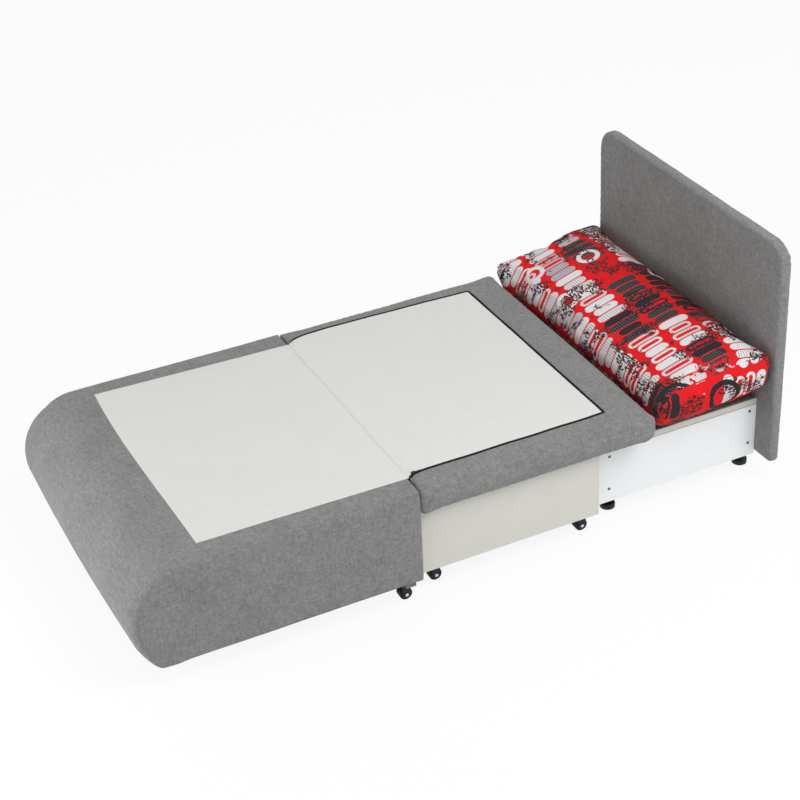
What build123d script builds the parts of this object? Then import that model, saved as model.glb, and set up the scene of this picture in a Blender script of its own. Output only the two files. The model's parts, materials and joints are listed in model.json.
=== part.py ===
from build123d import *

import math
import os

# Chair bed, pulled out flat for sleeping. A fixed rear box with a headboard stands on glides.
# A middle box and an upholstered front section stand on rollers and slide back over it.
# A loose seat pad is sewn to the front section and folds over on to it to make the seat.
#
# Frame: +Y runs from the nose to the headboard, +X to one side and +Z up from the floor.
# Each piece is built with the sewn joint between front section and pad on y = 0.
# write() then moves it along Y so that the whole object is centred on its origin.

# Boards, cloth and clearances
board = 18.0
deck_board = 16.0
cloth = 2.0
seat_gap = 0.3
hole_gap = 0.1
rise_gap = 4.0
overrun = 5.0

# Rear box
rear_half_width = 375.0
rear_bottom = 60.0
rear_side_height = 162.0
rear_face = 1056.0
rear_overlap = 56.0
rear_front_panel_inset = 102.0
rear_back_panel_inset = 12.0
lining = 1.0
lining_margin = 3.0

# Glide feet, corner blocks and screws
foot_radius = 21.0
foot_neck_radius = 9.0
foot_base = 16.0
foot_rim = 5.0
foot_inset = 58.0
foot_front_offset = 31.0
foot_back_offset = 17.0
block_side = 58.0
block_length = 45.0
block_height = 40.0
screw_radius = 2.5
screw_head_radius = 4.5
screw_head = 3.0
screw_length = 46.0
screw_edge = 41.0
screw_top_edge = 18.0

# Headboard
head_side_step = 1.0
head_bottom = 71.0
head_top = 727.0
head_thick = 30.0
head_corner = 65.0
head_edge = 7.0
head_foam = 8.0
bolt_radius = 4.0
bolt_head_radius = 8.0
bolt_head = 5.0
bolt_reach = 10.0
bolt_x = 250.0
bolt_edge = 45.0

# Middle box
middle_side_gap = 20.0
middle_bottom = 62.0
middle_front = 60.0
middle_stop_gap = 10.0

# Front section
front_side_gap = 9.0
front_bottom = 72.0
side_foam = 8.0
top_foam = 62.0
joint_gap = 1.5
front_depth = 765.0
nose_length = 164.5
nose_radius = 149.0
nose_lower_radius = 174.0
nose_bow = 8.0
nose_edge = 34.0
nose_foam = 22.0
nose_skin = 4.0
side_edge = 12.0
rib_count = 4
cavity_gap = 3.0
crown = 1.5
crown_fade_share = 0.95
edge_steps = 4
flat_steps = 3

# Pale panels of the front section and the pad
skin_depth = 6.0
panel_border = 70.0
front_panel_length = 560.0
front_panel_bow = 9.0
pad_panel_border = 73.0
pad_panel_back_border = 120.5
zip_width = 5.0
pull_length = 16.0
pull_width = 6.0
pull_height = 1.6

# Seat pad
pad_side_step = 3.0
pad_length = 690.0
pad_rear_top_radius = 22.0
pad_rear_bottom_radius = 28.0
pad_hinge_top_radius = 2.5
pad_hinge_bottom_radius = 18.0
pad_side_edge = 12.0
pad_drawn_in = 2.0
pad_under_crown = 4.0
seam_radius = 2.0
fold_gap = 0.3

# Rollers and their forks
roller_radius = 17.5
roller_width = 26.0
roller_round = 2.5
hub_radius = 6.0
hub_recess = 1.5
axle_radius = 3.0
axle_head = 1.5
axle_clearance = 0.05
fork_wall = 2.5
fork_play = 0.5
fork_length = 24.0
fork_reach = 8.0
ear_half = 11.0
plate = 3.0
plate_gap = 2.0
middle_fork_inset = 11.0
front_fork_inset = 2.0
front_roller_inset = 37.0
front_block_length = 28.0
front_block_inset = 17.0
middle_roller_front = 66.0
middle_roller_rear_inset = 33.0
nose_roller_x = 250.0
nose_roller_inset = 120.0

# Slide strips and stops
strip_height = 20.0
strip_bottom = 150.0
strip_end = 6.0
stop_length = 18.0
stop_height = 18.0
slide_play = 0.5

# Pillow
pillow_side_step = 5.0
pillow_pad_gap = 14.0
pillow_height = 180.0
pillow_end_round = 35.0
pillow_under_round = 120.0
pillow_drawn_in = 9.0
pillow_gap = 3.0
pillow_end_share = 0.4
pillow_corner_share = 0.2
pillow_nose_share = 0.45
pillow_shoulder_share = 0.42
pillow_fall_share = 0.1
pillow_dome_share = -0.01
pillow_flat_share = 0.17
pillow_toe_share = 0.293
pillow_brow_share = 0.25
pillow_swell_share = 0.02
pillow_cheek_angle = 115.0

# Heights, worked out from the rear box upwards
side_top = rear_bottom + rear_side_height
rear_top = side_top + board
middle_deck = rear_top + rise_gap
middle_top = middle_deck + deck_board
front_deck = middle_top + rise_gap
foam_floor = front_deck + deck_board
top = foam_floor + top_foam + cloth
hinge_z = top + crown + fold_gap

# Half widths, worked out from the rear box outwards
rear_inner = rear_half_width - board
middle_inner = rear_half_width + middle_side_gap
middle_half_width = middle_inner + board
front_inner = middle_half_width + front_side_gap
front_frame = front_inner + board
half_width = front_frame + side_foam + cloth
panel_half_width = half_width - panel_border
pad_half_width = half_width - pad_side_step
pad_panel_half_width = pad_half_width - pad_panel_border
pillow_half_width = half_width - pillow_side_step
head_half_width = half_width - head_side_step
middle_fork_face = middle_inner - middle_fork_inset
front_fork_face = front_inner - front_fork_inset

# Lengths and travels along Y
middle_rear = front_depth - nose_length - middle_front - joint_gap - cavity_gap
rear_start = middle_rear - rear_overlap
rear_front_panel_y = rear_start + rear_front_panel_inset
middle_travel = rear_face - middle_stop_gap - middle_rear
front_travel = rear_face - middle_stop_gap + joint_gap - middle_travel
front_end = -joint_gap
cavity_end = -middle_front - front_travel - cavity_gap
nose_y = -front_depth + nose_radius
nose_z = top - nose_radius
pad_start = joint_gap
pad_panel_length = pad_length - pad_panel_back_border - pad_start
pillow_front = pad_length + pillow_pad_gap
pad_bottom = middle_top + seat_gap + pad_under_crown
pillow_low = rear_top + lining + seat_gap
under_rear = rear_bottom - plate_gap
under_middle = under_rear - plate - plate_gap
nose_tip = -front_depth - nose_bow
head_back = rear_face + head_thick
shift = -(nose_tip + head_back) / 2


def write(name, shape):
    """Centre a finished piece on the object's origin and save it under its node's name."""
    placed = group([Pos(0, shift, 0) * solid for solid in shape.solids()])
    export_step(placed, f"parts/{name}.step")


def block(x0, x1, y0, y1, z0, z1):
    """A box between two corners."""
    centre = Pos((x0 + x1) / 2, (y0 + y1) / 2, (z0 + z1) / 2)
    return centre * Box(x1 - x0, y1 - y0, z1 - z0)


def group(shapes):
    """Several pieces in one node, each still a solid of its own."""
    return Compound(children=[solid for shape in shapes for solid in shape.solids()])


def carve(shape, tools):
    """Cut each solid of a group out of a piece, one after another."""
    for tool in tools.solids():
        shape -= tool
    return shape


def both_sides(shape):
    """A piece and its mirror image on the other side of the object."""
    return group([shape, mirror(shape, about=Plane.YZ)])


def pair(name, shape):
    """Write a piece for each side as a node of its own."""
    write(f"{name}_right", shape)
    write(f"{name}_left", mirror(shape, about=Plane.YZ))


def cylinder_x(x0, x1, y, z, radius):
    """A cylinder along X between two planes."""
    return Pos((x0 + x1) / 2, y, z) * Rot(0, 90, 0) * Cylinder(radius, x1 - x0)


def cylinder_y(y0, y1, x, z, radius):
    """A cylinder along Y between two planes."""
    return Pos(x, (y0 + y1) / 2, z) * Rot(90, 0, 0) * Cylinder(radius, y1 - y0)


def section(x, points):
    """A closed outline across the object at one x, from (y, z) corners and (y, z) arc middles."""
    edges = []
    for start, middle, end in points:
        first = (x, *start)
        last = (x, *end)
        if middle is None:
            edges.append(Line(first, last))
        else:
            edges.append(ThreePointArc(first, (x, *middle), last))
    return Wire(edges)


def on_circle(centre, radius, degrees):
    """The point on a circle at one angle, measured from +Y towards +Z."""
    angle = math.radians(degrees)
    return centre[0] + radius * math.cos(angle), centre[1] + radius * math.sin(angle)


def skin_loft(outlines):
    """A solid through a row of outlines, straight from each one to the next."""
    return Solid.make_loft(outlines, ruled=True)


def edge_inset(distance, radius):
    """How far a rounded edge has drawn in, at one distance from the side."""
    if distance >= radius:
        return 0.0
    return radius - math.sqrt(radius**2 - (radius - distance) ** 2)


def crown_here(x, half):
    """The share of the full crown that is left at one place across the width."""
    return 1 - crown_fade_share * (x / half) ** 2


def stations(half, radius):
    """Places across the width: close together round each edge and even between them."""
    turn = math.pi / 2 / edge_steps
    outer = [radius * (1 - math.cos(turn * step)) for step in range(edge_steps + 1)]
    right = [half - distance for distance in outer]
    flat = right[-1]
    inner = [flat * step / flat_steps for step in range(flat_steps)]
    positive = sorted(set(right + inner))
    return [-x for x in reversed(positive) if x > 0] + positive


def front_outline(x, half, inset, low):
    """The front section's outline at one x: flat top, round nose and flat bottom."""
    share = 1 - (x / half) ** 2
    distance = half - abs(x)
    edge = inset + edge_inset(distance, side_edge)
    nose = inset + edge_inset(distance, nose_edge)
    end = front_end - inset
    high = top - edge
    tip_y = -front_depth - nose_bow * share + nose
    start = (nose_y - nose_bow * share, high)
    tip = (tip_y, nose_z)
    upper_middle = (
        start[0] - (start[0] - tip_y) * math.sin(math.pi / 4),
        nose_z + (high - nose_z) * math.sin(math.pi / 4),
    )
    lower_centre = (tip_y + nose_lower_radius, nose_z)
    drop = math.degrees(math.asin((nose_z - low) / nose_lower_radius))
    lower_middle = on_circle(lower_centre, nose_lower_radius, 180 + drop / 2)
    foot = on_circle(lower_centre, nose_lower_radius, 180 + drop)
    top_middle = ((end + start[0]) / 2, high + crown * crown_here(x, half))
    return section(
        x,
        [
            ((end, low), None, (end, high)),
            ((end, high), top_middle, start),
            (start, upper_middle, tip),
            (tip, lower_middle, foot),
            (foot, None, (end, low)),
        ],
    )


def front_form(inset, low):
    """The soft outer form of the front section, drawn in all round by one inset."""
    half = half_width - inset
    places = stations(half, nose_edge)
    return skin_loft([front_outline(x, half, inset, low) for x in places])


def former_face(inset):
    """The wooden frame's side view: level under the top foam and round at the nose."""
    radius = nose_radius - cloth - nose_foam - inset
    lower = nose_lower_radius - cloth - nose_foam - inset
    peak = nose_z + radius
    tip = (nose_y - radius, nose_z)
    lower_centre = (tip[0] + lower, nose_z)
    drop = math.degrees(math.asin((nose_z - front_bottom) / lower))
    foot = on_circle(lower_centre, lower, 180 + drop)
    end = front_end - cloth
    outline = section(
        0,
        [
            ((end, front_bottom), None, (end, foam_floor)),
            ((end, foam_floor), None, (cavity_end, foam_floor)),
            ((cavity_end, foam_floor), None, (cavity_end, peak)),
            ((cavity_end, peak), None, (nose_y, peak)),
            ((nose_y, peak), on_circle((nose_y, nose_z), radius, 135), tip),
            (tip, on_circle(lower_centre, lower, 180 + drop / 2), foot),
            (foot, None, (end, front_bottom)),
        ],
    )
    return Face(outline)


def former(inset, x0, x1):
    """The frame's side view as a solid between two planes across the object."""
    return Pos(x0, 0, 0) * extrude(former_face(inset), x1 - x0, dir=(1, 0, 0))


def pad_outline(x, half, inset):
    """The seat pad's outline at one x: slightly crowned above and below, rounded at its ends."""
    share = crown_here(x, half)
    edge = inset + edge_inset(half - abs(x), pad_side_edge)
    near = pad_start + edge
    far = pad_length - edge
    low = pad_bottom + edge
    high = top - edge
    hinge_top = pad_hinge_top_radius
    hinge_under = pad_hinge_bottom_radius - inset
    top_round = pad_rear_top_radius - inset
    under_round = pad_rear_bottom_radius - inset
    middle_y = (near + far) / 2
    return section(
        x,
        [
            ((near, low + hinge_under), None, (near, high - hinge_top)),
            (
                (near, high - hinge_top),
                on_circle((near + hinge_top, high - hinge_top), hinge_top, 135),
                (near + hinge_top, high),
            ),
            ((near + hinge_top, high), (middle_y, high + crown * share), (far - top_round, high)),
            (
                (far - top_round, high),
                on_circle((far - top_round, high - top_round), top_round, 45),
                (far, high - top_round),
            ),
            ((far, high - top_round), None, (far, low + under_round)),
            (
                (far, low + under_round),
                on_circle((far - under_round, low + under_round), under_round, -45),
                (far - under_round, low),
            ),
            (
                (far - under_round, low),
                (middle_y, low - pad_under_crown * share),
                (near + hinge_under, low),
            ),
            (
                (near + hinge_under, low),
                on_circle((near + hinge_under, low + hinge_under), hinge_under, -135),
                (near, low + hinge_under),
            ),
        ],
    )


def pad_form(inset):
    """The seat pad's outer form, its two long sides drawn in a little between the corners."""
    half = pad_half_width - inset
    body = skin_loft([pad_outline(x, half, inset) for x in stations(half, pad_side_edge)])
    near = pad_start - overrun
    far = pad_length + overrun
    wide = half + overrun
    waist = (half - pad_drawn_in, (near + far) / 2)
    outline = [
        ThreePointArc((half, near), waist, (half, far)),
        Line((half, far), (wide, far)),
        Line((wide, far), (wide, near)),
        Line((wide, near), (half, near)),
    ]
    trim = extrude(Face(Wire(outline)), top + overrun, dir=(0, 0, 1))
    return body - trim - mirror(trim, about=Plane.YZ)


def pillow_outline(x):
    """The pillow's outline at one x: flat where it lies, full behind and lower in front."""
    share = 1 - (x / pillow_half_width) ** 2
    edge = edge_inset(pillow_half_width - abs(x), pillow_end_round)
    low = pillow_low + edge_inset(pillow_half_width - abs(x), pillow_under_round)
    high = pillow_low + pillow_height - edge
    front = pillow_front + pillow_drawn_in * share + edge * pillow_end_share
    back = rear_face - pillow_gap - edge * pillow_end_share
    depth = back - front
    height = high - low
    corner = height * pillow_corner_share
    nose = (front, low + height * pillow_nose_share)
    shoulder = (front + depth * pillow_shoulder_share, high - height * pillow_fall_share)
    flat_start = (front + depth * pillow_flat_share, low)
    toe_middle = (
        front + (flat_start[0] - front) * pillow_toe_share,
        low + (nose[1] - low) * pillow_toe_share,
    )
    brow = height * pillow_brow_share
    brow_centre = (front + brow, nose[1])
    cheek = on_circle(brow_centre, brow, pillow_cheek_angle)
    brow_middle = on_circle(brow_centre, brow, (180 + pillow_cheek_angle) / 2)
    swell = (
        (cheek[0] + shoulder[0]) / 2,
        (cheek[1] + shoulder[1]) / 2 + height * pillow_swell_share,
    )
    dome_middle = ((shoulder[0] + back - corner) / 2, high - height * pillow_dome_share)
    return section(
        x,
        [
            (flat_start, None, (back - corner, low)),
            (
                (back - corner, low),
                on_circle((back - corner, low + corner), corner, -45),
                (back, low + corner),
            ),
            ((back, low + corner), None, (back, high - corner)),
            (
                (back, high - corner),
                on_circle((back - corner, high - corner), corner, 45),
                (back - corner, high),
            ),
            ((back - corner, high), dome_middle, shoulder),
            (shoulder, swell, cheek),
            (cheek, brow_middle, nose),
            (nose, toe_middle, flat_start),
        ],
    )


def head_form(inset):
    """The headboard's outer form, with rounded upper corners and soft edges."""
    half = head_half_width - inset
    low = head_bottom + inset
    high = head_top - inset
    sheet = Pos(0, rear_face + inset, (low + high) / 2) * Box(
        2 * half, head_thick - 2 * inset, high - low, align=(Align.CENTER, Align.MIN, Align.CENTER)
    )
    along_y = sheet.edges().filter_by(Axis.Y).sort_by(Axis.Z)
    sheet = fillet(along_y[-2:], head_corner - inset)
    lower = sheet.edges().filter_by(Axis.Y).sort_by(Axis.Z)
    sheet = fillet(lower[:2], head_edge - inset)
    faces = sheet.faces().filter_by(Axis.Y)
    return fillet([edge for face in faces for edge in face.edges()], head_edge - inset)


def roller_set(x_face, y):
    """One pair of rollers, each with a bore for its axle and a shallow recess at each hub."""
    x1 = x_face - fork_wall - fork_play
    x0 = x1 - roller_width
    wheel = cylinder_x(x0, x1, y, roller_radius, roller_radius)
    rims = wheel.edges().filter_by(GeomType.CIRCLE)
    wheel = fillet(rims, roller_round)
    wheel -= cylinder_x(x0 - overrun, x1 + overrun, y, roller_radius, axle_radius + axle_clearance)
    for start in (x0 - overrun, x1 - hub_recess):
        end = start + overrun + hub_recess if start < x0 else x1 + overrun
        wheel -= cylinder_x(start, end, y, roller_radius, hub_radius)
    return both_sides(wheel)


def fork(x_face, y, plate_top, carrier_x, carrier_z):
    """A roller's bracket: a plate, two ears and, where its carrier is higher, a riser to it."""
    depth = roller_width + 2 * fork_play + 2 * fork_wall
    half = fork_length / 2
    low = plate_top - plate
    body = block(x_face - depth, carrier_x[1], y - half, y + half, low, plate_top)
    for x0 in (x_face - depth, x_face - fork_wall):
        ear = block(x0, x0 + fork_wall, y - ear_half, y + ear_half, roller_radius, low)
        body += ear + cylinder_x(x0, x0 + fork_wall, y, roller_radius, ear_half)
    if carrier_z > plate_top:
        body += block(*carrier_x, y - half, y + half, plate_top, carrier_z)
    body -= cylinder_x(x_face - depth - overrun, x_face + overrun, y, roller_radius, axle_radius)
    return both_sides(body)


def axle(x_face, y):
    """The pin through one fork, with a flat head outside each ear."""
    depth = roller_width + 2 * fork_play + 2 * fork_wall
    pin = cylinder_x(x_face - depth, x_face, y, roller_radius, axle_radius)
    pin += cylinder_x(x_face, x_face + axle_head, y, roller_radius, hub_radius - axle_head)
    end = x_face - depth
    pin += cylinder_x(end - axle_head, end, y, roller_radius, hub_radius - axle_head)
    return both_sides(pin)


def screw(y, z, spare):
    """A panel screw into the end of a cross panel, or its hole when some room is spared."""
    x1 = rear_half_width + spare
    neck = rear_half_width - screw_head - spare
    head = cylinder_x(neck, x1, y, z, screw_head_radius + spare)
    return head + cylinder_x(neck - screw_length - spare, neck, y, z, screw_radius + spare)


def rear_unit():
    """The fixed box with its top, lining, feet and screws."""
    front_y = rear_front_panel_y + board / 2
    back_y = rear_face - rear_back_panel_inset - board / 2
    end = rear_face - seat_gap
    heights = (rear_bottom + screw_edge, side_top - screw_top_edge)
    places = [(y, z) for y in (front_y, back_y) for z in heights]
    screw_holes = both_sides(group([screw(y, z, hole_gap) for y, z in places]))
    bolt_holes = headboard_bolts(hole_gap)
    side = block(rear_inner, rear_half_width, rear_start, end, rear_bottom, side_top)
    pair("rear_side_panel", carve(side, screw_holes))
    for name, y in (("rear_front_panel", front_y), ("rear_back_panel", back_y)):
        panel = block(-rear_inner, rear_inner, y - board / 2, y + board / 2, rear_bottom, side_top)
        write(name, carve(carve(panel, screw_holes), bolt_holes))
        screws = group([screw(y, z, 0) for z in heights])
        write(name.replace("panel", "screws"), both_sides(screws))
    write("rear_top_board", block(-rear_half_width, rear_half_width, rear_start, end, side_top, rear_top))
    edge = rear_half_width - lining_margin
    front_edge = rear_start + lining_margin
    back_edge = rear_face - lining_margin
    write("rear_top_lining", block(-edge, edge, front_edge, back_edge, rear_top, rear_top + lining))
    stop_low = strip_bottom + strip_height + slide_play
    stop = block(
        rear_half_width,
        middle_inner - slide_play,
        rear_start,
        rear_start + stop_length,
        stop_low,
        stop_low + stop_height,
    )
    write("rear_stops", both_sides(stop))
    blocks = []
    feet = []
    places = ((front_y, 1, foot_front_offset), (back_y, -1, foot_back_offset))
    for panel_y, way, offset in places:
        inner = panel_y + way * board / 2
        y0, y1 = sorted((inner, inner + way * block_length))
        x0 = rear_inner - block_side
        blocks.append(block(x0, rear_inner, y0, y1, rear_bottom, rear_bottom + block_height))
        foot = Pos(rear_half_width - foot_inset, panel_y + offset, 0) * glide()
        feet.append(foot)
    write("rear_corner_blocks", both_sides(group(blocks)))
    write("rear_feet", both_sides(group(feet)))


def glide():
    """A plastic foot: a wide base with a rounded rim under a narrower neck."""
    base = Pos(0, 0, foot_base / 2) * Cylinder(foot_radius, foot_base)
    base = fillet(base.edges().filter_by(GeomType.CIRCLE).sort_by(Axis.Z)[-1], foot_rim)
    neck_height = rear_bottom - foot_base
    return base + Pos(0, 0, foot_base + neck_height / 2) * Cylinder(foot_neck_radius, neck_height)


def headboard_bolts(spare):
    """Bolts from inside the rear box into the headboard, or their holes with room to spare."""
    head_y = rear_face - rear_back_panel_inset - board
    tip_y = rear_face + cloth + head_foam + bolt_reach + spare
    bolts = []
    for z in (rear_bottom + bolt_edge, side_top - bolt_edge):
        shank = cylinder_y(head_y, tip_y, bolt_x, z, bolt_radius + spare)
        bolts.append(shank + cylinder_y(head_y - bolt_head, head_y, bolt_x, z, bolt_head_radius))
    return both_sides(group(bolts))


def headboard():
    """The padded board at the head end: chipboard, a foam face and its cover."""
    holes = headboard_bolts(hole_gap)
    outer = head_form(0)
    inner = head_form(cloth)
    split = rear_face + cloth + head_foam
    reach = head_half_width + overrun
    face = block(-reach, reach, rear_face, split, 0, head_top + overrun)
    write("headboard_cover", outer - inner - holes)
    write("headboard_foam", (inner & face) - holes)
    write("headboard_board", inner - face - holes)
    write("headboard_bolts", headboard_bolts(0))


def middle_unit():
    """The middle box: side panels, front panel, deck, slide strips, stops and rollers."""
    side = block(middle_inner, middle_half_width, -middle_front, middle_rear, middle_bottom, middle_top)
    pair("middle_side_panel", side)
    inner_front = -middle_front + board
    write(
        "middle_front_panel",
        block(-middle_inner, middle_inner, -middle_front, inner_front, middle_bottom, middle_deck),
    )
    write(
        "middle_deck",
        block(-middle_inner, middle_inner, -middle_front, middle_rear, middle_deck, middle_top),
    )
    strip_top = strip_bottom + strip_height
    strip_x = rear_half_width + slide_play
    strip = block(strip_x, middle_inner, inner_front, middle_rear - strip_end, strip_bottom, strip_top)
    write("middle_slide_strips", both_sides(strip))
    stop_low = strip_top + slide_play
    stop_high = stop_low + stop_height
    catch = rear_start + stop_length + seat_gap
    inner_stop = block(strip_x, middle_inner, catch, catch + stop_length, stop_low, stop_high)
    outer_stop = block(
        middle_half_width,
        front_inner - slide_play,
        -middle_front,
        -middle_front + stop_length,
        stop_low,
        stop_high,
    )
    write("middle_stops", group([both_sides(inner_stop), both_sides(outer_stop)]))
    places = {"front": middle_roller_front, "rear": middle_rear - middle_roller_rear_inset}
    carrier = (middle_inner, middle_inner + fork_reach)
    for where, y in places.items():
        write(f"middle_{where}_rollers", roller_set(middle_fork_face, y))
        write(f"middle_{where}_forks", fork(middle_fork_face, y, under_rear, carrier, middle_bottom))
        write(f"middle_{where}_axles", axle(middle_fork_face, y))


def front_frame_pieces():
    """The front section's boards: sides, deck, cross panel, ribs, nose skin and base."""
    pair("front_side_panel", former(0, front_inner, front_frame))
    end = front_end - cloth
    write("front_deck", block(-front_inner, front_inner, cavity_end, end, front_deck, foam_floor))
    base_top = front_bottom + deck_board
    core = former(nose_skin, -front_inner, front_inner)
    shell = former(0, -front_inner, front_inner)
    reach = front_inner + overrun
    far = nose_tip - overrun
    nose_zone = block(-reach, reach, far, cavity_end - board, 0, top)
    cross_zone = block(-reach, reach, cavity_end - board, cavity_end, base_top, top)
    base_zone = block(-reach, reach, far, cavity_end, 0, base_top)
    write("front_nose_skin", (shell & nose_zone) - core)
    write("front_cross_panel", shell & cross_zone)
    write("front_base_board", core & base_zone)
    rib_zone = block(-reach, reach, far, cavity_end - board, base_top, top)
    ribs = []
    for index in range(rib_count):
        share = (index + 1) / (rib_count + 1)
        x = -front_inner + 2 * front_inner * share
        ribs.append(former(nose_skin, x - board / 2, x + board / 2) & rib_zone)
    write("front_nose_ribs", group(ribs))


def front_upholstery():
    """The front section's foam, its cover and the pale lining let into the top."""
    outer = front_form(0, front_bottom)
    inner = front_form(cloth, front_bottom - overrun)
    reach = half_width + overrun
    far = nose_tip - overrun
    below = block(-reach, reach, far, overrun, 0, front_bottom)
    stuffing = inner - below - former(0, -front_frame, front_frame)
    nose_zone = block(-reach, reach, far, cavity_end, 0, top + overrun)
    top_zone = block(-reach, reach, cavity_end, 0, foam_floor, top + overrun)
    side_zone = block(-reach, reach, cavity_end, 0, 0, foam_floor)
    write("front_nose_foam", stuffing & nose_zone)
    write("front_top_foam", stuffing & top_zone)
    write("front_side_foam", stuffing & side_zone)
    bowed = -front_panel_length - front_panel_bow
    low = top - skin_depth
    sides = [
        Line((panel_half_width, overrun), (panel_half_width, -front_panel_length)),
        ThreePointArc(
            (panel_half_width, -front_panel_length), (0, bowed), (-panel_half_width, -front_panel_length)
        ),
        Line((-panel_half_width, -front_panel_length), (-panel_half_width, overrun)),
        Line((-panel_half_width, overrun), (panel_half_width, overrun)),
    ]
    window = Pos(0, 0, low) * extrude(Face(Wire(sides)), skin_depth + overrun, dir=(0, 0, 1))
    opening = block(-front_inner, front_inner, front_end - cloth - overrun, overrun, 0, front_deck)
    skin = outer - inner
    write("front_cover", skin - window - opening)
    write("front_lining", skin & window)


def front_unit():
    """The whole front section with its slide strips, stops, rollers and the hinge seam."""
    front_frame_pieces()
    front_upholstery()
    strip_top = strip_bottom + strip_height
    strip_x = middle_half_width + slide_play
    strip_back = front_end - cloth - strip_end
    write(
        "front_slide_strips",
        both_sides(block(strip_x, front_inner, cavity_end, strip_back, strip_bottom, strip_top)),
    )
    catch = -middle_front + stop_length + seat_gap
    stop_low = strip_top + slide_play
    stop_high = stop_low + stop_height
    stop = block(strip_x, front_inner, catch, catch + stop_length, stop_low, stop_high)
    write("front_stops", both_sides(stop))
    block_end = front_end - front_block_inset
    block_start = block_end - front_block_length
    spacer = block(front_inner, front_frame, block_start, block_end, under_middle, front_bottom)
    write("front_roller_blocks", both_sides(spacer))
    carrier = (front_inner, front_inner + fork_reach)
    nose_face = nose_roller_x + roller_width / 2
    nose_carrier = (nose_face - fork_wall, nose_face)
    nose_roller_y = -front_depth + nose_roller_inset
    write("front_rear_rollers", roller_set(front_fork_face, -front_roller_inset))
    write(
        "front_rear_forks",
        fork(front_fork_face, -front_roller_inset, under_middle, carrier, under_middle),
    )
    write("front_rear_axles", axle(front_fork_face, -front_roller_inset))
    write("nose_rollers", roller_set(nose_face, nose_roller_y))
    write("nose_forks", fork(nose_face, nose_roller_y, front_bottom, nose_carrier, front_bottom))
    write("nose_axles", axle(nose_face, nose_roller_y))
    write("hinge_seam", cylinder_x(-panel_half_width, panel_half_width, 0, hinge_z, seam_radius))


def seat_pad():
    """The seat pad: foam, cover, pale zipped panel, zip and its pull."""
    outer = pad_form(0)
    inner = pad_form(cloth)
    skin = outer - inner
    low = top - skin_depth
    high = top + overrun
    edge = pad_panel_half_width
    back = pad_start + pad_panel_length
    panel = block(-edge, edge, pad_start - overrun, back, low, high)
    wide = edge + zip_width
    ring = block(-wide, wide, pad_start - overrun, back + zip_width, low, high)
    write("pad_foam", inner)
    write("pad_cover", skin - ring)
    write("pad_zip", (skin & ring) - panel)
    write("pad_lining", skin & panel)
    pull_x = edge + zip_width / 2
    pull_y = pad_start + pull_length
    pull_z = top + crown + seat_gap
    pull = block(
        pull_x - pull_width / 2,
        pull_x + pull_width / 2,
        pull_y,
        pull_y + pull_length,
        pull_z - pull_height,
        pull_z,
    )
    write("zip_pull", pull - inner - skin)


os.makedirs("parts", exist_ok=True)
rear_unit()
headboard()
middle_unit()
front_unit()
seat_pad()
pillow_places = stations(pillow_half_width, pillow_under_round)
write("pillow", skin_loft([pillow_outline(x) for x in pillow_places]))
print("joint line at", shift)
print("travel of middle box", middle_travel, "and of front section over it", front_travel)
print("hinge height", hinge_z, "total half width", half_width)
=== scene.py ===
import json
import math
import random

import bmesh
import bpy
import numpy as np
from mathutils import Matrix, Vector, noise
from mathutils.bvhtree import BVHTree


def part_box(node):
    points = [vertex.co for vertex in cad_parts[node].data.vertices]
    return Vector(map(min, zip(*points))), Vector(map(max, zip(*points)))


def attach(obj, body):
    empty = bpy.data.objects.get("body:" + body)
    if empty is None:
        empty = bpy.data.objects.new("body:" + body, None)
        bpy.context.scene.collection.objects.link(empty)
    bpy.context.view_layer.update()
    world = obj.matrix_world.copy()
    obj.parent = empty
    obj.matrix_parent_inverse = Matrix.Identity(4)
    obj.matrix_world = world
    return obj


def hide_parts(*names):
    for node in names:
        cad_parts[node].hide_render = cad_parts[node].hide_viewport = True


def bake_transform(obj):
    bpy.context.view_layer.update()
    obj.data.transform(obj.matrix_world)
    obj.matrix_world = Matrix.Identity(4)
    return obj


# Chair bed pulled out flat. The boards, rollers and fittings come from the CAD model and get
# their finish here. Everything soft is made here, over the solids that stand for it.

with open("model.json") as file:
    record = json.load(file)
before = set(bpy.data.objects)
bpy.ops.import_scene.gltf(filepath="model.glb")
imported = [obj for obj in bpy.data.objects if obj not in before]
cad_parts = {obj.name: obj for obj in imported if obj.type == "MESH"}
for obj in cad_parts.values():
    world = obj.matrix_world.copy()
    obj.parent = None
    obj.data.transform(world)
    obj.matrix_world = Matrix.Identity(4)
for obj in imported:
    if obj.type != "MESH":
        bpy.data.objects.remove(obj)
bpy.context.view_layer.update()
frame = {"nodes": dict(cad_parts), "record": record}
nodes = frame["nodes"]
scene = bpy.context.scene
random.seed(11)
print("frame loaded:", len(nodes), "nodes")


# small helpers for nodes

def addNode(tree, kind, inputs=None, **settings):
    node = tree.nodes.new(kind)
    for key, value in settings.items():
        setattr(node, key, value)
    for key, value in (inputs or {}).items():
        if isinstance(value, bpy.types.NodeSocket):
            tree.links.new(value, node.inputs[key])
        else:
            node.inputs[key].default_value = value
    return node


def calc(tree, operation, *values):
    return addNode(tree, "ShaderNodeMath", dict(enumerate(values)), operation=operation).outputs[0]


def mixColour(tree, share, first, second):
    inputs = {0: share, 6: first, 7: second}
    return addNode(tree, "ShaderNodeMix", inputs, data_type="RGBA").outputs[2]


def ramp(tree, share, stops):
    node = addNode(tree, "ShaderNodeValToRGB", {"Fac": share})
    bar = node.color_ramp.elements
    while len(bar) < len(stops):
        bar.new(0.5)
    for element, (place, colour) in zip(bar, stops):
        element.position = place
        element.color = (*colour, 1.0)
    return node.outputs["Color"]


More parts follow.
